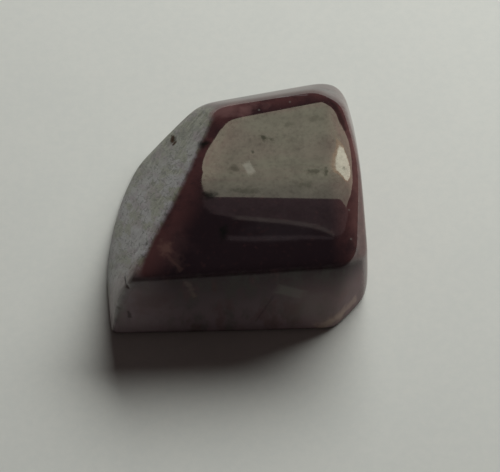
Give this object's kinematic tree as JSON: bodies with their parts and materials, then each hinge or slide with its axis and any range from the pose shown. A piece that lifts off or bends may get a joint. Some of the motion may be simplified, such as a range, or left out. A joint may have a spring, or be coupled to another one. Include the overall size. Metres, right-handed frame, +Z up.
{
  "type": "tumbled ruby",
  "caption": "Tumbled ruby pebble: a blocky, dark wine-red polished stone with worn facets, a frosted left slope and a flat underside it rests on.",
  "frame": {"origin": "middle of the bounding box, at the level of the flat underside", "axes": "+Z up, out of the broad polished top; -Y towards the steep front face; -X towards the frosted slope"},
  "size_m": [0.0208, 0.0216, 0.0084],
  "materials": {
    "ruby": "dark wine-red corundum, tumbled to a high gloss, with a duller pitted slope on the left"
  },
  "bodies": {
    "root": {"ruby": "ruby"}
  },
  "joints": []
}
